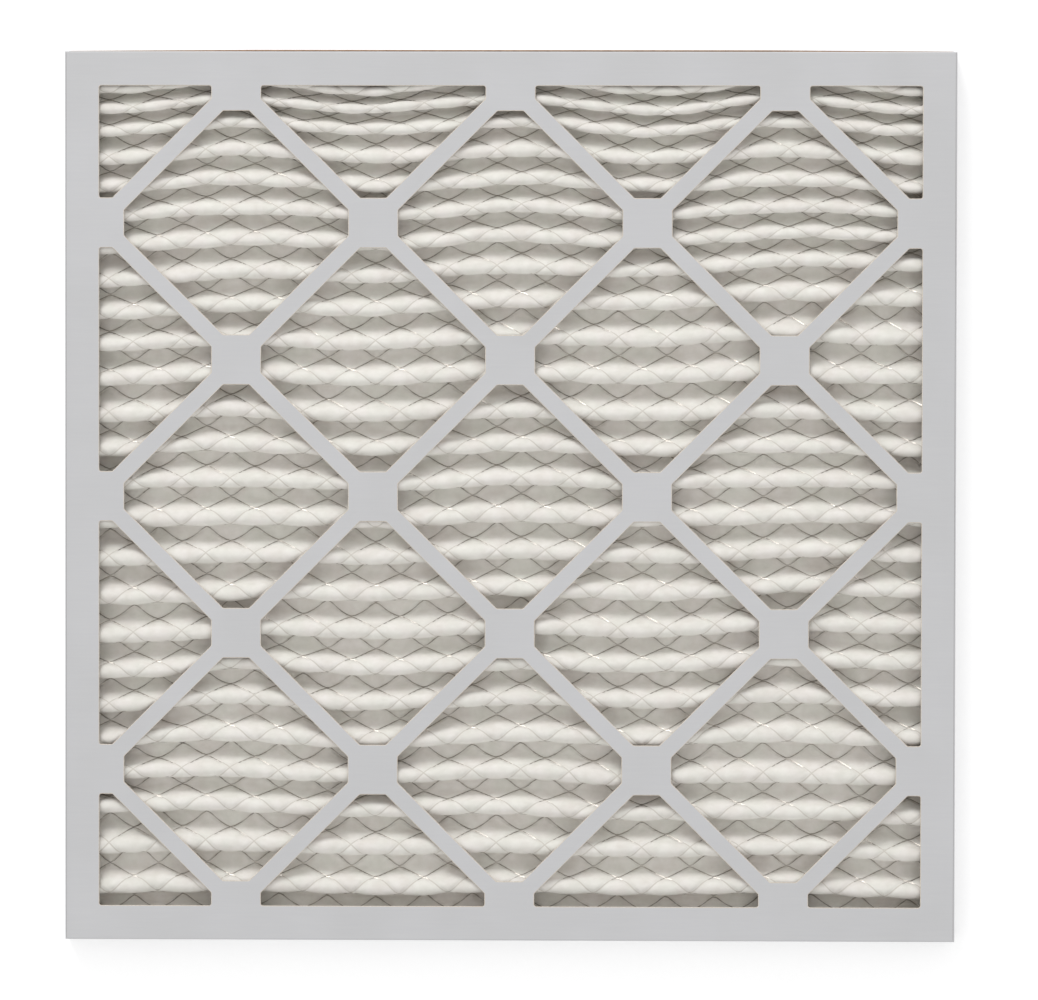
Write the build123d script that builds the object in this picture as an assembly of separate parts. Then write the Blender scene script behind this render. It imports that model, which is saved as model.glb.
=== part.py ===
"""Pleated panel air filter, nominal 20 x 20 x 1 inch.

Two die-cut board trays nest around one pleated sheet of nonwoven media, which is backed
by expanded steel mesh on its downstream side and sealed to the trays with adhesive.
All sizes are in millimetres. The panel lies on its upstream face, which is z = 0, and its
downstream face is up. Pleats run along X and follow each other along Y.
"""
from build123d import *

import math
import os

# Overall size of the panel.
panel_width = 495.3
panel_height = 495.3
panel_depth = 19.05

# Board of the two trays, and its folds.
board = 0.7
fold_radius = 0.8
nest_gap = 0.15
tab_length = 24.0
tab_taper = 3.0
flap_length = 272.0

# Die-cut face of each tray: a border, and diagonal strips that meet in square nodes.
border = 19.05
bays_across = 6
bays_up = 6
strip_width = 9.5
node_width = 27.8

# Adhesive between the pleat pack and the flanges.
seal_thickness = 1.5

# Pleated media.
pleat_pitch_wanted = 18.1
media_thickness = 1.6
seat_gap = 0.2

# Expanded steel mesh: strands zigzag over the pleats in columns one diamond wide.
diamond_length_wanted = 27.2
strand_width = 0.8
strand_thickness = 0.4
lay_gap = 0.1
mesh_margin = 1.5

# Both trays are one layer of board shorter than the panel: the front one at the top, where
# the rear tray's flap closes over it, and the rear one at the bottom, inside the front one.
tray_height = panel_height - board - nest_gap
tray_shift = (board + nest_gap) / 2

# Inside of the nested trays.
inner_width = panel_width - 2 * (2 * board + nest_gap)
inner_height = panel_height - 2 * (2 * board + nest_gap)
inner_depth = panel_depth - 2 * board

# The pleat pack: whole pleats between the end seals, strands and media between the faces.
pack_width = inner_width - 2 * seal_thickness
pack_length = inner_height - 2 * seal_thickness
pleat_count = round(pack_length / pleat_pitch_wanted)
half_pitch = pack_length / pleat_count / 2
pack_depth = inner_depth - 2 * seat_gap
sheet_thickness = media_thickness + lay_gap + 2 * strand_thickness

# The mesh: whole diamonds across the media, clear of the adhesive at both sides.
mesh_width = pack_width - 2 * mesh_margin
column_count = round(mesh_width / diamond_length_wanted)
diamond_length = mesh_width / column_count


def pleat_rise():
    """Height from crease to crease of a V pleat that fills the pack depth.

    A flank of slope a has tan a = rise / half_pitch, and the sheet adds thickness / cos a
    to the rise. Setting the sum to the pack depth gives a quadratic in the rise.
    """
    root = math.sqrt(half_pitch**2 + pack_depth**2 - sheet_thickness**2)
    return half_pitch * (half_pitch * pack_depth - sheet_thickness * root) / (
        half_pitch**2 - sheet_thickness**2)


rise = pleat_rise()
flank_length = math.hypot(half_pitch, rise)
height_per_thickness = flank_length / half_pitch


def window(bay_x, bay_y):
    """One die-cut opening: a diamond between strips, cut square at the four nodes."""
    reach = 1 - strip_width / 2 * math.hypot(1 / bay_x, 1 / bay_y)
    tips = [(bay_x * reach, 0), (0, bay_y * reach), (-bay_x * reach, 0), (0, -bay_y * reach)]
    diamond = make_face(Polyline(*tips, close=True))
    return diamond & Rectangle(2 * bay_x - node_width, 2 * bay_y - node_width)


def windows():
    """The openings of one face, on every second crossing of the bay grid."""
    field_width = panel_width - 2 * border
    field_height = tray_height - 2 * border
    bay_x = field_width / bays_across
    bay_y = field_height / bays_up
    field = Rectangle(field_width, field_height)
    opening = window(bay_x, bay_y)
    places = [
        Pos((i - bays_across / 2) * bay_x, (j - bays_up / 2) * bay_y)
        for i in range(bays_across + 1)
        for j in range(bays_up + 1)
        if (i + j) % 2 == 0
    ]
    return Sketch() + [place * opening & field for place in places]


def tray(width, height, depth):
    """An open board tray, face down on z = 0, with its flanges up."""
    outside = Pos(0, 0, depth / 2) * Box(width, height, depth)
    outside = fillet(outside.faces().sort_by(Axis.Z)[0].edges(), fold_radius)
    inside = Pos(0, 0, board + depth / 2) * Box(width - 2 * board, height - 2 * board, depth)
    return outside - inside


def four_corners(shape):
    """The shape and its mirror images in the other three corners."""
    pair = [shape, mirror(shape, Plane.YZ)]
    return pair + [mirror(one, Plane.XZ) for one in pair]


def corner_tab():
    """The glue tab on the top flange's end, folded behind the right-hand flange."""
    root = tray_height / 2 - board
    low = board + nest_gap
    high = panel_depth - board
    outline = Polyline(
        (root, low), (root, high), (root - tab_length, high - tab_taper),
        (root - tab_length, low + tab_taper), close=True)
    return extrude(Plane.YZ.offset(panel_width / 2 - 2 * board) * make_face(outline), board)


def front_frame():
    """Outer tray: the downstream face, with flanges as deep as the panel.

    Its top flange stops short, so that the face of the rear tray passes under it.
    """
    turned = Pos(0, 0, panel_depth) * Rot(X=180) * tray(panel_width, tray_height, panel_depth)
    openings = Pos(0, 0, panel_depth - board) * extrude(windows(), board)
    passage = Pos(0, tray_height / 2, 0) * Box(
        panel_width - 2 * board, 2 * board, 2 * (board + nest_gap))
    whole = turned - openings - passage + four_corners(corner_tab())
    return Pos(0, -tray_shift) * whole


def flap_trim():
    """What is cut from the closing flap, so that its right-hand end slopes down.

    The cut goes through the flap and half of the gap behind it.
    """
    end = panel_width / 2
    outline = Polyline(
        (flap_length / 2, 2 * panel_depth), (flap_length / 2, panel_depth),
        (end, board), (end, 2 * panel_depth), close=True)
    return extrude(Plane.XZ.offset(-(panel_height / 2)) * make_face(outline), board + nest_gap / 2)


def rear_frame():
    """Inner tray: the upstream face, with three flanges inside the front tray.

    The flange along the top is a flap with sloping ends, which closes over the outside.
    The flanges at the sides stop beside the front tray's glue tabs.
    """
    width = panel_width - 2 * (board + nest_gap)
    nested = tray(width, tray_height, panel_depth - board - nest_gap)
    openings = Pos(0, -2 * tray_shift) * extrude(windows(), board)
    placed = Pos(0, tray_shift) * (nested - openings)
    relief_height = tab_length + 3 * board + 2 * nest_gap
    relief = Pos(inner_width / 2, panel_height / 2, board) * Box(
        panel_width, 2 * relief_height, 2 * panel_depth,
        align=(Align.MIN, Align.CENTER, Align.MIN))
    trim = flap_trim()
    return placed - four_corners(relief) - [trim, mirror(trim, Plane.YZ)]


def pleat_points(lift):
    """Crease points (y, z) of the pleated sheet, at a height above its rear side."""
    low = board + seat_gap + lift
    return [
        (step * half_pitch - pack_length / 2, low + rise * (step % 2))
        for step in range(2 * pleat_count + 1)
    ]


def media_pack():
    """One pleated sheet of even thickness, with a sharp crease at each ridge and valley."""
    below = pleat_points(0)
    above = pleat_points(media_thickness * height_per_thickness)
    section = Plane.YZ * make_face(Polyline(*below, *reversed(above), close=True))
    return extrude(section, pack_width / 2, both=True)


def strand(first_side, outward):
    """One strand of the mesh, which crosses its column on every flank.

    It starts at the column's left (-1) or right (1), and its flat face lies where the two
    families of strands meet. Its rounded back faces away from the media (1) or to it (-1).
    """
    half_column = diamond_length / 2
    meet = (media_thickness + lay_gap + strand_thickness) * height_per_thickness
    path = [
        Vector(first_side * half_column * (1 - 2 * (step % 2)), y, z)
        for step, (y, z) in enumerate(pleat_points(meet))
    ]
    along = (path[1] - path[0]).normalized()
    up = Vector(0, -rise, half_pitch).normalized()
    start = Plane(origin=path[0], x_dir=along.cross(up), z_dir=along)
    side = strand_width / 2
    back = outward * strand_thickness * (1 if start.y_dir.dot(up) > 0 else -1)
    section = start * make_face(Polyline((-side, 0), (side, 0), (0, back), close=True))
    swept = sweep(section, path=Polyline(*path), transition=Transition.RIGHT)
    return swept & Box(panel_width, pack_length, 2 * panel_depth)


def support_mesh():
    """Two families of crossing strands, lapped where they meet."""
    pair = [strand(-1, -1), strand(1, 1)]
    columns = [(index - (column_count - 1) / 2) * diamond_length for index in range(column_count)]
    return Compound([Pos(x, 0, 0) * one for x in columns for one in pair])


def side_seal(side):
    """Adhesive between the pleat ends and one side flange."""
    middle = side * (pack_width + seal_thickness) / 2
    return Pos(middle, 0, panel_depth / 2) * Box(seal_thickness, pack_length, inner_depth)


def end_seal(side):
    """Adhesive between the first or last pleat and its flange."""
    middle = side * (pack_length + seal_thickness) / 2
    return Pos(0, middle, panel_depth / 2) * Box(inner_width, seal_thickness, inner_depth)


parts = {
    "front_frame": front_frame(),
    "rear_frame": rear_frame(),
    "media_pack": media_pack(),
    "support_mesh": support_mesh(),
    "side_seal_left": side_seal(-1),
    "side_seal_right": side_seal(1),
    "end_seal_bottom": end_seal(-1),
    "end_seal_top": end_seal(1),
}

os.makedirs("parts", exist_ok=True)
for name, shape in parts.items():
    export_step(shape, f"parts/{name}.step")
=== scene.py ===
"""Looks of the pleated panel air filter, in metres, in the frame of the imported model.

The panel lies on its upstream face. X runs along the pleats, Y across them and Z out of the
downstream face. The trays get softened die-cut edges, and the media and the expanded steel
are worked out as surfaces of two parameters: x across the pack, and s, the distance along
the folded sheet, counted in pleats from the top edge of the pack.
"""

import bpy
import numpy as np
from mathutils import Matrix, Vector
from mathutils.geometry import tessellate_polygon


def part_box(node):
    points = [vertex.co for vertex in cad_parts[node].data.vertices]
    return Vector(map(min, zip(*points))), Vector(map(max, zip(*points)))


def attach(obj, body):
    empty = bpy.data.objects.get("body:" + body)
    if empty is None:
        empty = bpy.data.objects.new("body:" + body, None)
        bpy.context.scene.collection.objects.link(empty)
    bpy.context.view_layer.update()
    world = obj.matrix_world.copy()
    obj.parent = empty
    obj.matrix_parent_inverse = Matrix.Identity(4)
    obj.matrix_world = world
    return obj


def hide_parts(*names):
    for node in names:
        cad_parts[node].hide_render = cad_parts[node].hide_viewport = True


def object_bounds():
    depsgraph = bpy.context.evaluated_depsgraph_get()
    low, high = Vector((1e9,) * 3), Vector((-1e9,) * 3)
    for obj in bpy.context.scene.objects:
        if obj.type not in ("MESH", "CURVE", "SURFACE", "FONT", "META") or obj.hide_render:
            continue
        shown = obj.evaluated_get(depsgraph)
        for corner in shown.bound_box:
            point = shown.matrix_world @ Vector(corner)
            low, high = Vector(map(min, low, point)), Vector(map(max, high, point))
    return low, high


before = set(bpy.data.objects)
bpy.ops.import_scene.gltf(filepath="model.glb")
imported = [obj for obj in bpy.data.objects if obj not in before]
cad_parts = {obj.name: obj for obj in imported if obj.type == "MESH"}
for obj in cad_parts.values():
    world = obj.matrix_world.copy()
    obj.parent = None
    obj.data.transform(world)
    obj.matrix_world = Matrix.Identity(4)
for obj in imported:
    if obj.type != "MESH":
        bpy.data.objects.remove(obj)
cad_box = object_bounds()

MM = 0.001

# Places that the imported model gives.
media_low, media_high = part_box("media_pack")
steel_low, steel_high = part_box("support_mesh")
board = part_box("end_seal_top")[0].z
face_height = cad_box[1].z
pack_top = media_high.y
pack_length = media_high.y - media_low.y

# Trays.
BORDER = 19.05 * MM
BAYS = 6
DIE_CORNER = 1.2 * MM
PRESSED_EDGE = 0.38 * MM
BACK_EDGE = 0.12 * MM
ARC_STEPS = 5

# Pleats: 27 of them, closer together near the top edge of the pack.
PLEATS = 27
SQUEEZE = 0.7
SETTLE = 5.0

# Slope of the sheet in degrees along one pleat, from valley to valley: a leaning wave with a
# firm upper flank, a broad crest and a steep drop behind it.
FOLD_PLACES = (0.0, 0.05, 0.10, 0.18, 0.28, 0.41, 0.46, 0.50, 0.54, 0.58, 0.62, 0.66, 0.70,
               0.76, 0.83, 0.88, 0.93, 0.97, 1.0)
FOLD_SLOPES = (5, 30, 50, 57, 57, 56, 42, 20, 0, -20, -48, -82, -98, -97, -93, -74, -38, -8, 5)
FOLD_SOFTNESS = 0.022
MEDIA_THICKNESS = 1.6 * MM
SEAT = 0.3 * MM
VALLEY_SLACK = 1.2 * MM
SET_LOW = 1.0 * MM

# The ridges lean a little more towards the bottom at the top of the pack, and less at its
# bottom, by FAN.
FAN = 1.2 * MM

# Sizes of the uneven fields: how far they lean the ridges, move the pleats, raise the valleys
# and lower the ridges. They fade out over END_FADE at the two ends of the pack.
LEAN_DRIFT = 1.6 * MM
PLEAT_DRIFT = 1.1 * MM
VALLEY_DRIFT = 1.4 * MM
RIDGE_DRIFT = 0.5 * MM
END_FADE = 14 * MM

# Places where the pleats crowd towards the top: the shift at the middle of the panel, its
# growth along x, the height y on the panel and how far it reaches.
CROWDS = (
    (3.3 * MM, 0.023, 115 * MM, 25 * MM),
    (0.5 * MM, 0.013, -75 * MM, 45 * MM),
    (1.9 * MM, -0.014, -176 * MM, 19 * MM),
)

# The pleats bow towards the top at every second bay of the lattice.
BOW_PERIOD = 152.4 * MM
BOW_MIDDLE = 1.2 * MM
BOW_TOP = 4.2 * MM
BOW_FADE = 3.5

# Expanded steel: a row of bonds lies on the ridge of the pleat in the middle of the sheet.
DIAMOND = 27.01 * MM
ROWS_PER_PLEAT = 3.5
BOND_PLEAT = 14.5
BOND_X = 6.1 * MM
STRAND_WIDTH = 0.38 * MM
STRAND_THICKNESS = 0.30 * MM
STEPS_PER_DIAMOND = 12
STRAND_LIFT = 0.15 * MM
STRAND_TILT = np.radians(20)
BEND_SHARPNESS = 0.93
BOND_OVERLAP = 0.035

# Media between the strands.
QUILT_RIDGE = 1.25 * MM
QUILT_FLANK = 0.45 * MM
COVER = 0.62 * MM
CREST = 0.535
CREST_REACH = 0.08
CREST_FULL = 1.8
GRID_PER_ROW = 5
BACK_COLUMNS = 20

# Light: a key beyond the top edge, the surround as objects see it, and what the floor adds
# for the rays that see the background as white.
KEY_PLACE = (-1.0, 3.5, 1.8)
KEY_SIZE = 1.5
KEY_POWER = 64
SURROUND = 0.83
FLOOR_LIFT = 0.3
FLOOR_HALF = 6.0

# Camera, on the downstream side.
CAMERA_PLACE = Vector((76.6, 108.4, 3600)) * MM
CAMERA_TARGET = Vector((5.07, -2.10, 19.05)) * MM
CAMERA_ROLL = 0.00168
LENS = 223.58

chance = np.random.default_rng(20)


# ---------------------------------------------------------------- meshes

def new_piece(name, vertices, faces, material, smooth=True):
    """A mesh object from an array of points and a list or array of faces."""
    mesh = bpy.data.meshes.new(name)
    mesh.from_pydata(vertices.reshape(-1, 3), [], faces)
    mesh.polygons.foreach_set("use_smooth", np.full(len(mesh.polygons), smooth))
    mesh.materials.append(material)
    mesh.update()
    piece = bpy.data.objects.new(name, mesh)
    bpy.context.scene.collection.objects.link(piece)
    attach(piece, "root")
    return piece


def fold_profile(steps=400):
    """Cross-section of one pleat from valley to ridge to valley, as three arrays.

    The slope of the sheet is a function of the developed length t: FOLD_SLOPES joined by
    straight lines and then averaged over FOLD_SOFTNESS. The running sum of its cosine is the
    distance across the pleats, and that of its sine is the height, less what it misses its
    start by. Both are scaled to run from 0 to 1.
    """
    t = np.linspace(0, 1, steps + 1)
    shifts = np.linspace(-FOLD_SOFTNESS, FOLD_SOFTNESS, 13)
    soft = np.interp((t[:, None] + shifts) % 1, FOLD_PLACES, FOLD_SLOPES).mean(axis=1)
    slope = np.radians((soft[1:] + soft[:-1]) / 2)
    across = np.concatenate([[0], np.cumsum(np.cos(slope))])
    height = np.concatenate([[0], np.cumsum(np.sin(slope))])
    height = height - t * height[-1]
    return t, across / across[-1], (height - height.min()) / np.ptp(height)


FOLD_T, FOLD_ACROSS, FOLD_HEIGHT = fold_profile()


def spaced(v):
    """Distance from the top edge for pleat number v, before scaling: v, less a squeeze that
    fades as exp(-v / SETTLE)."""
    return v - SQUEEZE * SETTLE * (1 - np.exp(-v / SETTLE))


def wander(x, v, waves, size):
    """A smooth uneven field: a mean of sine waves of x and pleat number, with set phases."""
    total = 0
    for length, per_pleat, phase in waves:
        total = total + np.sin(2 * np.pi * x / length + per_pleat * v + phase)
    return size * total / len(waves)


drift_waves = [
    (length * MM, chance.uniform(0.4, 1.6), chance.uniform(0, 2 * np.pi))
    for length in (95, 140, 210, 330)
]
lean_waves = [
    (length * MM, chance.uniform(0.7, 2.2), chance.uniform(0, 2 * np.pi))
    for length in (60, 110, 260)
]
depth_waves = [
    (length * MM, chance.uniform(0.5, 2.0), chance.uniform(0, 2 * np.pi))
    for length in (80, 170, 300)
]
pleat_shift = chance.normal(0, 0.45 * MM, PLEATS + 2)


def sheet_point(x, s):
    """The front of the media at x and s, where a strand presses on it.

    The whole part of s is the pleat, and the rest goes through the fold profile, which gives
    the pleat number v and the height. The distance from the top edge follows spaced(v), and
    on it come a bow (a cosine of x that is stronger near the top), a lean of the ridges, the
    crowding (bell curves of the height on the panel) and small uneven drifts. These fade out
    at the two ends of the pack.
    """
    pleat = np.floor(s)
    t = s - pleat
    v = pleat + np.interp(t, FOLD_T, FOLD_ACROSS)
    height = np.interp(t, FOLD_T, FOLD_HEIGHT)
    fall = spaced(v) / spaced(PLEATS) * pack_length
    free = np.clip(np.minimum(fall, pack_length - fall) / END_FADE, 0, 1)
    bow = (BOW_MIDDLE + BOW_TOP * np.exp(-v / BOW_FADE)) * np.cos(2 * np.pi * x / BOW_PERIOD)
    fan = 1 - 2 * fall / pack_length
    lean = (wander(x, v, lean_waves, LEAN_DRIFT) - FAN * fan) * (height - 0.5)
    own_shift = np.interp(v, np.arange(PLEATS + 2), pleat_shift)
    drift = wander(x, v, drift_waves, PLEAT_DRIFT) + own_shift
    crowd = sum((shift + growth * x) * np.exp(-((pack_top - fall - level) / reach) ** 2 / 2)
                for shift, growth, level, reach in CROWDS)
    y = pack_top - fall + free * (bow + lean + drift + crowd - SET_LOW)
    valley = board + SEAT + MEDIA_THICKNESS + VALLEY_SLACK
    valley = valley + np.abs(wander(x, v, depth_waves, VALLEY_DRIFT))
    ridge = face_height - board - SEAT - QUILT_RIDGE - COVER
    ridge = ridge - np.abs(wander(x, v, drift_waves, RIDGE_DRIFT))
    z = valley + (ridge - valley) * height
    return np.stack(np.broadcast_arrays(x, y, z), axis=-1)


def sheet_normal(x, s):
    """Unit normal of the front of the media, from differences of sheet_point."""
    dx = 0.4 * MM
    ds = 0.01
    along = sheet_point(x + dx, s) - sheet_point(x - dx, s)
    down = sheet_point(x, s + ds) - sheet_point(x, s - ds)
    normal = np.cross(down, along)
    return normal / np.linalg.norm(normal, axis=-1, keepdims=True)


def quilt(x, s):
    """How far the media stands over the strands: most in the middle of a diamond.

    The bulge is the power 0.8 of |sin(pi (a + b)) sin(pi (a - b))|, where a counts diamonds
    along x and b counts them along the sheet, and it is stronger on the ridges than on the
    flanks. On the crests the soft fibres also close over the strands by COVER.
    """
    a = (x - BOND_X) / DIAMOND
    b = (s - BOND_PLEAT) * ROWS_PER_PLEAT / 2
    bulge = np.abs(np.sin(np.pi * (a + b)) * np.sin(np.pi * (a - b))) ** 0.8
    t = s - np.floor(s)
    on_ridge = np.interp(t, FOLD_T, FOLD_HEIGHT) ** 2
    on_crest = np.clip(CREST_FULL - np.abs(t - CREST) / CREST_REACH, 0, 1)
    cover = COVER * on_crest * (1 + wander(x, s, depth_waves, 0.5))
    return cover + bulge * (QUILT_FLANK + (QUILT_RIDGE - QUILT_FLANK) * on_ridge)


def spread(low, high, start, step):
    """Places from low to high that fall on start plus whole steps, with none too near an end."""
    first = np.ceil((low - start) / step + 0.35)
    last = np.floor((high - start) / step - 0.35)
    return np.concatenate([[low], start + step * np.arange(first, last + 1), [high]])


def grid_faces(rows, columns, flip, start=0, crossed=None):
    """Triangles over a grid of points, row by row.

    A cell is cut along one diagonal, or along the other where crossed says so. flip turns
    the faces over.
    """
    j, i = np.meshgrid(np.arange(rows), np.arange(columns), indexing="ij")
    a = start + j * (columns + 1) + i
    b, c, d = a + 1, a + columns + 2, a + columns + 1
    other = np.zeros(a.shape, bool) if crossed is None else crossed
    first = np.where(other[..., None], np.stack([a, d, b], -1), np.stack([a, d, c], -1))
    second = np.where(other[..., None], np.stack([b, d, c], -1), np.stack([a, c, b], -1))
    triangles = np.concatenate([first.reshape(-1, 3), second.reshape(-1, 3)])
    return triangles[:, ::-1] if flip else triangles


def rim_faces(fine, coarse, flip):
    """Triangles that close the gap between a fine edge and a coarse one.

    Each fine point belongs to the coarse point nearest in proportion. Each fine step fans
    out from the coarse point of its first end, and where the coarse point changes, one more
    triangle carries the fan across.
    """
    step = np.arange(len(fine) - 1)
    home = np.round(np.arange(len(fine)) * (len(coarse) - 1) / (len(fine) - 1)).astype(int)
    fans = np.stack([fine[step], fine[step + 1], coarse[home[step]]], -1)
    leap = step[home[step + 1] > home[step]]
    links = np.stack([coarse[home[leap]], fine[leap + 1], coarse[home[leap + 1]]], -1)
    triangles = np.concatenate([fans, links])
    return triangles[:, ::-1] if flip else triangles


def media_sheet(material):
    """The pleated media: a quilted front, a plain back one thickness behind it, and rims.

    The map "diamonds" counts strands along the two diagonals, so that a whole number is on
    a strand. The back stays at the middle of a diamond.

    The lines of the front grid run through the bonds of the steel, so that the creases under
    the strands follow its diagonals.
    """
    s_line = spread(0, PLEATS, BOND_PLEAT, 1 / (ROWS_PER_PLEAT * GRID_PER_ROW))
    x_line = spread(media_low.x, media_high.x, BOND_X, DIAMOND / 2 / GRID_PER_ROW)
    rows, columns = len(s_line) - 1, len(x_line) - 1
    s, x = np.meshgrid(s_line, x_line, indexing="ij")
    front = sheet_point(x, s) + sheet_normal(x, s) * quilt(x, s)[..., None]
    s_cell = (s[1:, 1:] + s[:-1, :-1]) / 2 - BOND_PLEAT
    x_cell = (x[1:, 1:] + x[:-1, :-1]) / 2 - BOND_X
    crossed = (np.floor(s_cell * ROWS_PER_PLEAT) + np.floor(x_cell / (DIAMOND / 2))) % 2 == 0
    back_s, back_x = np.meshgrid(
        s_line, np.linspace(media_low.x, media_high.x, BACK_COLUMNS + 1), indexing="ij")
    back = sheet_point(back_x, back_s) - sheet_normal(back_x, back_s) * MEDIA_THICKNESS
    back[[0, -1], :, 1] = np.array([[pack_top], [media_low.y]])
    front[[0, -1], :, 1] = np.array([[pack_top], [media_low.y]])
    count = (rows + 1) * (columns + 1)
    ids = np.arange(count).reshape(rows + 1, columns + 1)
    back_ids = count + np.arange(back[..., 0].size).reshape(rows + 1, BACK_COLUMNS + 1)
    faces = np.concatenate([
        grid_faces(rows, columns, False, 0, crossed),
        grid_faces(rows, BACK_COLUMNS, True, count),
        rim_faces(ids[0], back_ids[0], False),
        rim_faces(ids[-1], back_ids[-1], True),
        rim_faces(ids[:, 0], back_ids[:, 0], True),
        rim_faces(ids[:, -1], back_ids[:, -1], False),
    ])
    points = np.concatenate([front.reshape(-1, 3), back.reshape(-1, 3)])
    piece = new_piece("media", points, faces, material)
    a = (x - BOND_X) / DIAMOND
    b = (s - BOND_PLEAT) * ROWS_PER_PLEAT / 2
    plain = np.full((back_x.size, 2), 0.5)
    places = np.concatenate([np.stack([a + b, a - b], -1).reshape(-1, 2), plain])
    corners = np.empty(len(piece.data.loops), int)
    piece.data.loops.foreach_get("vertex_index", corners)
    piece.data.uv_layers.new(name="diamonds").uv.foreach_set("vector", places[corners].ravel())
    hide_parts("media_pack")
    steps = np.linalg.norm(np.diff(sheet_point(0 * s_line, s_line), axis=0), axis=1)
    return piece


def steel_mesh(material):
    """Expanded steel: rows of zigzag strands, each bonded to the next at every second bend.

    A row runs along x, and its distance down the sheet is a triangle wave of x with rounded
    bends, asin(q cos) / asin(q), of the opposite sign in every second row. A flat strand of
    four sides is carried along it on the media. All strands keep the tilt that they got
    when the sheet was stretched, down the sheet.
    """
    steps = round((steel_high.x - steel_low.x) / DIAMOND * STEPS_PER_DIAMOND)
    first_row = np.ceil(-BOND_PLEAT * ROWS_PER_PLEAT)
    last_row = np.floor((PLEATS - BOND_PLEAT) * ROWS_PER_PLEAT) - 1
    row = np.arange(first_row, last_row + 1)[:, None]
    x = np.linspace(steel_low.x, steel_high.x, steps + 1)[None, :] + 0 * row
    turn = 2 * np.pi * (x - BOND_X) / DIAMOND
    zigzag = np.arcsin(BEND_SHARPNESS * np.cos(turn)) / np.arcsin(BEND_SHARPNESS)
    sign = 1 - 2 * (row % 2)
    reach = 0.5 - BOND_OVERLAP
    uneven = wander(x, 5.3 * row, [(31 * MM, 0.9, 0.3), (47 * MM, 1.7, 2.1)], 0.03)
    s = BOND_PLEAT + (row + 0.5 - reach * sign * zigzag + uneven) / ROWS_PER_PLEAT
    line = sheet_point(x, s)
    normal = sheet_normal(x, s)
    run = np.gradient(line, axis=1)
    run = run / np.linalg.norm(run, axis=-1, keepdims=True)
    side = np.cross(normal, run)
    flat = side * np.cos(STRAND_TILT) + normal * np.sin(STRAND_TILT)
    lift = normal * np.cos(STRAND_TILT) - side * np.sin(STRAND_TILT)
    middle = line + normal * STRAND_LIFT
    w = flat * STRAND_WIDTH / 2
    h = lift * STRAND_THICKNESS / 2
    ring = np.stack([middle - w - h, middle + w - h, middle + w + h, middle - w + h], axis=2)
    corner = np.arange(4)
    base = (np.arange(len(row))[:, None, None] * (steps + 1) + np.arange(steps)[:, None]) * 4
    sides = np.stack([
        base + corner, base + (corner + 1) % 4, base + 4 + (corner + 1) % 4, base + 4 + corner,
    ], axis=-1).reshape(-1, 4)
    first = (np.arange(len(row)) * (steps + 1) * 4)[:, None]
    last = first + steps * 4
    faces = np.concatenate([sides, first + corner[::-1], last + corner])
    piece = new_piece("expanded_steel", ring, faces, material, smooth=False)
    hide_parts("support_mesh")
    return piece


def merged_copy(mesh):
    """Points and triangles of a CAD mesh, with the points that coincide made one."""
    places = np.empty(len(mesh.vertices) * 3)
    mesh.vertices.foreach_get("co", places)
    corners = np.empty(len(mesh.loops), int)
    mesh.loops.foreach_get("vertex_index", corners)
    microns = np.round(places.reshape(-1, 3) * 1e6)
    points, home = np.unique(microns, axis=0, return_inverse=True)
    return points * 1e-6, home.ravel()[corners].reshape(-1, 3)


def around(points):
    """The points of a convex outline, put in order by their angle about its middle."""
    middle = (points.min(axis=0) + points.max(axis=0)) / 2
    offset = points - middle
    return points[np.argsort(np.arctan2(offset[:, 1], offset[:, 0]))]


def rounded_outline(outline, radius):
    """A convex outline, anticlockwise, with an arc at each corner.

    Returns its points and the directions that point out of the outline there. An arc starts
    radius * tan(turn / 2) before its corner and turns about a centre one radius inside.
    """
    before = outline - np.roll(outline, 1, axis=0)
    after = np.roll(before, -1, axis=0)
    heading = np.arctan2(before[:, 1], before[:, 0])
    turn = (np.arctan2(after[:, 1], after[:, 0]) - heading) % (2 * np.pi)
    run = np.stack([np.cos(heading), np.sin(heading)], -1)
    inward = np.stack([-run[:, 1], run[:, 0]], -1)
    start = outline - run * (radius * np.tan(turn / 2))[:, None]
    centre = start + inward * radius
    angle = heading[:, None] - np.pi / 2 + turn[:, None] * np.linspace(0, 1, ARC_STEPS)
    away = np.stack([np.cos(angle), np.sin(angle)], -1)
    return (centre[:, None] + radius * away).reshape(-1, 2), away.reshape(-1, 2)


def die_cut_rim(outline, face_z, outward):
    """Points of the rim of one opening: the pressed edge, the wall and the back edge.

    The profile starts PRESSED_EDGE outside the outline, on the face. It rolls down a quarter
    circle to the outline, goes down the wall and ends just behind the back edge.
    """
    path, away = rounded_outline(outline, DIE_CORNER)
    angle = np.radians([0, 30, 60, 90])
    back = PRESSED_EDGE * (1 - np.sin(angle))
    down = PRESSED_EDGE * (1 - np.cos(angle))
    back = np.append(back, [0, BACK_EDGE])
    down = np.append(down, [board - BACK_EDGE, board])
    place = path[:, None] + away[:, None] * back[:, None]
    height = np.broadcast_to(face_z - outward * down, place.shape[:2])
    return np.concatenate([place, height[..., None]], axis=-1)


def filled(outer, holes, level, up):
    """Triangles of a flat face between an outer outline and holes, as numbers of the points
    of all the outlines in a row, all turned to face up or down."""
    loops = [[Vector((p[0], p[1], level)) for p in loop] for loop in [outer, *holes]]
    triangles = np.array(tessellate_polygon(loops))
    flat = np.concatenate([outer, *holes])[:, :2]
    one, two, three = (flat[triangles[:, k]] for k in range(3))
    area = np.cross(two - one, three - one)
    return np.where((area * up > 0)[:, None], triangles, triangles[:, ::-1])


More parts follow.
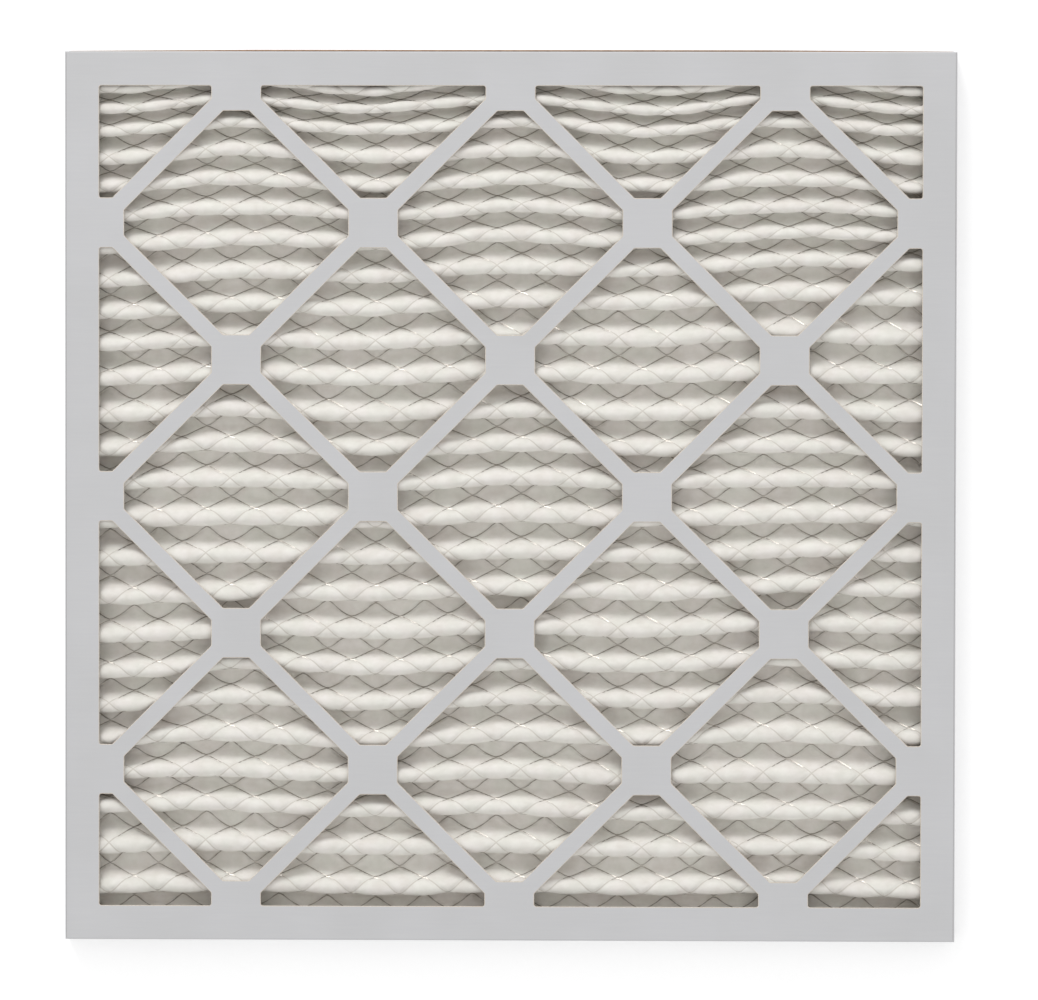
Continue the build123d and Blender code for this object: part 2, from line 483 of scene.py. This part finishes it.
def tray(node, name, outward, materials):
    """A tray made from its CAD node, with rounded die corners and pressed edges.

    The folded sides stay as they are. The flat face, its back and the walls of the openings
    are made again: a rim for each opening, and flat faces that fill what is left. The first
    material covers what faces out, the second the rims, and the third the inside and the
    raw ends of the sides.
    """
    points, triangles = merged_copy(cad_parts[node].data)
    face_z = face_height if outward > 0 else 0.0
    levels = [face_z, face_z - outward * board]
    lattice_low, lattice_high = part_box("front_frame")
    middle = np.array([(lattice_low.x + lattice_high.x) / 2, (lattice_low.y + lattice_high.y) / 2])
    reach = np.array([lattice_high.x, lattice_high.y]) - middle - BORDER
    near = 0.02 * MM
    inside = (np.abs(points[:, :2] - middle) < reach + near).all(axis=1)
    at_face, at_back = (np.abs(points[:, 2] - level) < near for level in levels)
    one, two, three = (points[triangles[:, k]] for k in range(3))
    normal = np.cross(two - one, three - one)
    normal = normal / np.linalg.norm(normal, axis=1, keepdims=True)
    wall = inside[triangles].all(axis=1) & (np.abs(normal[:, 2]) < 0.5)
    face = at_face[triangles].all(axis=1)
    back = at_back[triangles].all(axis=1)
    cell = 2 * reach / BAYS
    corners = points[inside & at_face][:, :2]
    near_grid = (corners - middle + reach) / cell
    grid = np.stack(np.meshgrid(np.arange(BAYS + 1), np.arange(BAYS + 1)), -1).reshape(-1, 2)
    grid = grid[grid.sum(axis=1) % 2 == 0]
    home = np.abs(near_grid[:, None] - grid).sum(axis=2).argmin(axis=1)
    rims = [die_cut_rim(around(corners[home == k]), face_z, outward) for k in range(len(grid))]
    kept = triangles[~(wall | face | back)]
    kept_normal = normal[~(wall | face | back)]
    parts, faces, looks = [points], [kept], [sides_look(points[kept].mean(axis=1), kept_normal,
                                                        outward)]
    count = len(points)
    starts = []
    for rim in rims:
        ring, deep = rim.shape[:2]
        i, j = np.meshgrid(np.arange(ring), np.arange(deep - 1), indexing="ij")
        a, b = count + i * deep + j, count + (i + 1) % ring * deep + j
        quads = np.stack([a, b, b + 1, a, b + 1, a + 1], -1).reshape(-1, 3)
        faces.append(quads if outward > 0 else quads[:, ::-1])
        looks.append(np.full(len(quads), 1))
        parts.append(rim.reshape(-1, 3))
        starts.append(count)
        count += ring * deep
    for level, flat, which, look in zip(levels, (face, back), (0, -1), (0, 2)):
        outer_ids = np.setdiff1d(triangles[flat], np.flatnonzero(inside))
        outer = around(points[outer_ids])
        up = outward if look == 0 else -outward
        inner = [rim[:, which] for rim in rims]
        made = filled(outer, inner, level, up)
        parts.append(outer)
        ids = [np.arange(len(outer)) + count]
        ids += [start + np.arange(len(rim)) * rim.shape[1] + which % rim.shape[1]
                for start, rim in zip(starts, rims)]
        count += len(outer)
        faces.append(np.concatenate(ids)[made])
        looks.append(np.full(len(made), look))
    piece = new_piece(name, np.concatenate(parts), np.concatenate(faces), materials[0],
                      smooth=False)
    for material in materials[1:]:
        piece.data.materials.append(material)
    piece.data.polygons.foreach_set("material_index", np.concatenate(looks))
    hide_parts(node)
    return piece


def sides_look(middle, normal, outward):
    """Number of the material of each face of the folded sides: 0 out, 2 in and raw ends."""
    out = (middle[:, :2] * normal[:, :2]).sum(axis=1) / np.linalg.norm(middle[:, :2], axis=1)
    coated = (normal[:, 2] * outward > 0.2) | (out > 0.2)
    return np.where(coated, 0, 2)


# ---------------------------------------------------------------- materials

def linear(code):
    """A linear colour from an sRGB hex value such as "C8C8C8"."""
    parts = [int(code[i:i + 2], 16) / 255 for i in (0, 2, 4)]
    return [p / 12.92 if p <= 0.04045 else ((p + 0.055) / 1.055) ** 2.4 for p in parts] + [1]


def add(tree, kind, inputs=(), **settings):
    """Adds a node with its settings. inputs maps a socket to a value or to another socket."""
    node = tree.nodes.new(kind)
    for key, value in settings.items():
        setattr(node, key, value)
    for key, value in dict(inputs).items():
        if isinstance(value, bpy.types.NodeSocket):
            tree.links.new(value, node.inputs[key])
        else:
            node.inputs[key].default_value = value
    return node


def new_material(name, **sockets):
    """A material with one Principled shader, whose uniform values are set on its sockets."""
    material = bpy.data.materials.new(name)
    material.use_nodes = True
    tree = material.node_tree
    shader = tree.nodes["Principled BSDF"]
    for key, value in sockets.items():
        shader.inputs[key.replace("_", " ")].default_value = value
    return material, tree, shader


def two_tone(tree, factor, low, high, color_low, color_high):
    """The tone of an uneven surface: from one colour to another as a factor goes from low
    to high."""
    node = add(tree, "ShaderNodeMapRange", {"Value": factor, "From Min": low, "From Max": high})
    mix = add(tree, "ShaderNodeMix", {0: node.outputs[0], 6: color_low, 7: color_high},
              data_type="RGBA")
    return mix.outputs[2]


def coated_board():
    """Clay-coated beverage board, light grey: a smooth matt coat over paper fibres.

    It shows faint streaks along X from the paper machine, 1 mm apart and drawn long, soft
    clouds 45 mm across, and a light grain that breaks up its dull sheen.
    """
    material, tree, shader = new_material("clay coated board", Roughness=0.55)
    place = add(tree, "ShaderNodeTexCoord").outputs["Object"]
    stretched = add(tree, "ShaderNodeMapping", {"Vector": place, "Scale": (40, 900, 900)})
    streaks = add(tree, "ShaderNodeTexNoise",
                  {"Vector": stretched.outputs[0], "Scale": 1.0, "Detail": 3.0})
    clouds = add(tree, "ShaderNodeTexNoise", {"Vector": place, "Scale": 22.0, "Detail": 2.0})
    streaked = two_tone(tree, streaks.outputs[0], 0.3, 0.7, linear("C3C3C5"), linear("C7C7C8"))
    clouded = two_tone(tree, clouds.outputs[0], 0.35, 0.65, linear("C2C2C3"), linear("C8C8CA"))
    both = add(tree, "ShaderNodeMix", {0: 0.5, 6: streaked, 7: clouded}, data_type="RGBA")
    tree.links.new(both.outputs[2], shader.inputs["Base Color"])
    bump = add(tree, "ShaderNodeBump",
               {"Height": streaks.outputs[0], "Strength": 0.06, "Distance": 0.05 * MM})
    tree.links.new(bump.outputs[0], shader.inputs["Normal"])
    return material


def cut_core():
    """Die-cut wall of the board: pressed pale core, with a fibrous bite."""
    material, tree, shader = new_material("die cut core", Roughness=0.85)
    place = add(tree, "ShaderNodeTexCoord").outputs["Object"]
    fibres = add(tree, "ShaderNodeTexNoise", {"Vector": place, "Scale": 900.0, "Detail": 2.0})
    color = two_tone(tree, fibres.outputs[0], 0.35, 0.65, linear("C9C0B3"), linear("DCD4C8"))
    tree.links.new(color, shader.inputs["Base Color"])
    return material


def kraft():
    """Unbleached kraft, the inside of the board: warm brown, matt and flecked with fibres."""
    material, tree, shader = new_material("kraft liner", Roughness=0.9)
    place = add(tree, "ShaderNodeTexCoord").outputs["Object"]
    fibres = add(tree, "ShaderNodeTexNoise",
                 {"Vector": place, "Scale": 350.0, "Detail": 4.0, "Roughness": 0.7})
    color = two_tone(tree, fibres.outputs[0], 0.3, 0.7, linear("93745A"), linear("B3957A"))
    tree.links.new(color, shader.inputs["Base Color"])
    return material


def nonwoven():
    """Nonwoven cotton and polyester: a warm white mat of loose fibres, fuzzy and dull.

    It shows clumps of fibres 4 mm across and soft clouds of warmer and cooler white 14 mm
    across in its tone, fibres in its surface, which are drawn 0.6 mm across, coarser than
    real, so that they show, and a thin pinched crease along each strand. The crease is also
    painted darker: painted shade, and on the crests partly the buried strand seen through.
    """
    material, tree, shader = new_material(
        "nonwoven media", Roughness=1.0, Sheen_Weight=0.2, Sheen_Roughness=0.6)
    place = add(tree, "ShaderNodeTexCoord").outputs["Object"]
    clouds = add(tree, "ShaderNodeTexNoise", {"Vector": place, "Scale": 70.0, "Detail": 2.0})
    clumps = add(tree, "ShaderNodeTexNoise", {"Vector": place, "Scale": 160.0, "Detail": 3.0})
    fibres = add(tree, "ShaderNodeTexNoise",
                 {"Vector": place, "Scale": 1100.0, "Detail": 2.0, "Roughness": 0.6})
    warm = two_tone(tree, clumps.outputs[0], 0.3, 0.7, linear("DED9D2"), linear("E9E5E0"))
    cool = two_tone(tree, clumps.outputs[0], 0.3, 0.7, linear("DDDBD3"), linear("E8E6DF"))
    part = add(tree, "ShaderNodeMapRange",
               {"Value": clouds.outputs[0], "From Min": 0.38, "From Max": 0.62})
    mat = add(tree, "ShaderNodeMix",
              {0: part.outputs[0], 6: warm, 7: cool}, data_type="RGBA")
    strands = add(tree, "ShaderNodeUVMap", uv_map="diamonds")
    axes = add(tree, "ShaderNodeSeparateXYZ", {"Vector": strands.outputs[0]})
    off = [add(tree, "ShaderNodeMath", {0: axes.outputs[k], 1: 0.5}, operation="PINGPONG")
           for k in (0, 1)]
    nearest = add(tree, "ShaderNodeMath", {0: off[0].outputs[0], 1: off[1].outputs[0]},
                  operation="MINIMUM")
    crease = add(tree, "ShaderNodeMapRange",
                 {"Value": nearest.outputs[0], "From Max": 0.035}, interpolation_type="SMOOTHSTEP")
    pinch = add(tree, "ShaderNodeMapRange",
                {"Value": nearest.outputs[0], "From Max": 0.12}, interpolation_type="SMOOTHSTEP")
    # Painted shade: a thin line along each strand is mixed towards the darker CAC5BC. This is
    # shade in the crease and, on the crests, partly the buried strand seen through the fibres.
    painted_crease_shade = add(tree, "ShaderNodeMix",
                {0: crease.outputs[0], 6: linear("CAC5BC"), 7: mat.outputs[2]}, data_type="RGBA")
    tree.links.new(painted_crease_shade.outputs[2], shader.inputs["Base Color"])
    pinched = add(tree, "ShaderNodeBump",
                  {"Height": pinch.outputs[0], "Strength": 0.8, "Distance": 0.5 * MM})
    coarse = add(tree, "ShaderNodeBump",
                 {"Height": clumps.outputs[0], "Strength": 0.5, "Distance": 0.5 * MM,
                  "Normal": pinched.outputs[0]})
    fine = add(tree, "ShaderNodeBump",
               {"Height": fibres.outputs[0], "Strength": 0.35, "Distance": 0.12 * MM,
                "Normal": coarse.outputs[0]})
    tree.links.new(fine.outputs[0], shader.inputs["Normal"])
    return material


def bare_steel():
    """Slit and stretched steel sheet, oiled and unpainted: dull grey, with bright glints."""
    material, tree, shader = new_material("expanded steel", Metallic=1.0, Roughness=0.32)
    place = add(tree, "ShaderNodeTexCoord").outputs["Object"]
    stains = add(tree, "ShaderNodeTexNoise", {"Vector": place, "Scale": 240.0, "Detail": 2.0})
    color = two_tone(tree, stains.outputs[0], 0.35, 0.65, linear("928D86"), linear("B0AAA2"))
    tree.links.new(color, shader.inputs["Base Color"])
    return material


def hot_melt():
    """Set hot-melt adhesive: pale yellow, waxy and slightly lumpy."""
    material, tree, shader = new_material("hot melt adhesive", Roughness=0.35)
    place = add(tree, "ShaderNodeTexCoord").outputs["Object"]
    lumps = add(tree, "ShaderNodeTexNoise", {"Vector": place, "Scale": 120.0, "Detail": 2.0})
    color = two_tone(tree, lumps.outputs[0], 0.3, 0.7, linear("DCD2B0"), linear("E8E0C4"))
    tree.links.new(color, shader.inputs["Base Color"])
    bump = add(tree, "ShaderNodeBump",
               {"Height": lumps.outputs[0], "Strength": 0.4, "Distance": 0.4 * MM})
    tree.links.new(bump.outputs[0], shader.inputs["Normal"])
    return material


# ---------------------------------------------------------------- stage

def seen_as_white(tree):
    """1 for the rays that see the background as white: from the camera, and those that
    metal or glass sends on."""
    path = add(tree, "ShaderNodeLightPath")
    mirrored = add(tree, "ShaderNodeMath", {0: path.outputs["Is Glossy Ray"],
                                            1: path.outputs["Is Transmission Ray"]},
                   operation="MAXIMUM")
    seen = add(tree, "ShaderNodeMath", {0: path.outputs["Is Camera Ray"],
                                        1: mirrored.outputs[0]}, operation="MAXIMUM")
    return seen.outputs[0]


def studio_floor():
    """A white floor that keeps the panel's shadow.

    Rays from the camera, and those that steel reflects, see it a little brighter, so that
    it reaches white where no shadow falls.
    """
    corners = np.array([(-1, -1, 0), (1, -1, 0), (1, 1, 0), (-1, 1, 0)], float) * FLOOR_HALF
    mesh = bpy.data.meshes.new("floor")
    mesh.from_pydata(corners, [], [(0, 1, 2, 3)])
    floor = bpy.data.objects.new("floor", mesh)
    bpy.context.scene.collection.objects.link(floor)
    material, tree, shader = new_material("white floor", Roughness=1.0)
    shader.inputs["Base Color"].default_value = linear("F2F2F2")
    shader.inputs["Specular IOR Level"].default_value = 0.0
    shader.inputs["Emission Color"].default_value = (1, 1, 1, 1)
    lift = add(tree, "ShaderNodeMath",
               {0: seen_as_white(tree), 1: FLOOR_LIFT}, operation="MULTIPLY")
    tree.links.new(lift.outputs[0], shader.inputs["Emission Strength"])
    mesh.materials.append(material)


def softbox(name, place, target, size, power):
    """A square area lamp that faces a point."""
    lamp = bpy.data.lights.new(name, "AREA")
    lamp.size = size
    lamp.energy = power
    lamp_object = bpy.data.objects.new(name, lamp)
    lamp_object.location = place
    aim = Vector(target) - Vector(place)
    lamp_object.rotation_euler = aim.to_track_quat("-Z", "Y").to_euler()
    bpy.context.scene.collection.objects.link(lamp_object)


def studio_light():
    """A large softbox beyond the top edge, 64 degrees off the vertical, and an even pale
    surround. The two together light a flat face at about the level 1."""
    softbox("key", KEY_PLACE, (0, 0, 0), KEY_SIZE, KEY_POWER)
    world = bpy.data.worlds.new("surround")
    world.use_nodes = True
    back = world.node_tree.nodes["Background"]
    back.inputs["Color"].default_value = (1, 1, 1, 1)
    bpy.context.scene.world = world
    seen = add(world.node_tree, "ShaderNodeMapRange",
               {"Value": seen_as_white(world.node_tree), "To Min": SURROUND, "To Max": 1.0})
    world.node_tree.links.new(seen.outputs[0], back.inputs["Strength"])


def camera():
    """Looks down on the panel from 3.6 m, a little off its middle, level with its sides."""
    data = bpy.data.cameras.new("camera")
    data.sensor_width = 36
    data.lens = LENS
    look = bpy.data.objects.new("camera", data)
    bpy.context.scene.collection.objects.link(look)
    forward = (CAMERA_TARGET - CAMERA_PLACE).normalized()
    right = forward.cross(Vector((0, 1, 0))).normalized()
    up = right.cross(forward)
    turned_right = right * np.cos(CAMERA_ROLL) + up * np.sin(CAMERA_ROLL)
    turned_up = up * np.cos(CAMERA_ROLL) - right * np.sin(CAMERA_ROLL)
    look.matrix_world = Matrix((
        (turned_right.x, turned_up.x, -forward.x, CAMERA_PLACE.x),
        (turned_right.y, turned_up.y, -forward.y, CAMERA_PLACE.y),
        (turned_right.z, turned_up.z, -forward.z, CAMERA_PLACE.z),
        (0, 0, 0, 1),
    ))
    bpy.context.scene.camera = look


bpy.context.scene.view_settings.view_transform = "Standard"
camera()
studio_floor()
studio_light()

board_faces = [coated_board(), cut_core(), kraft()]
tray("front_frame", "front_tray", 1, board_faces)
tray("rear_frame", "rear_tray", -1, board_faces)
media_sheet(nonwoven())
steel_mesh(bare_steel())
glue = hot_melt()
for seal in ("side_seal_left", "side_seal_right", "end_seal_bottom", "end_seal_top"):
    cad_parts[seal].data.materials.clear()
    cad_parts[seal].data.materials.append(glue)
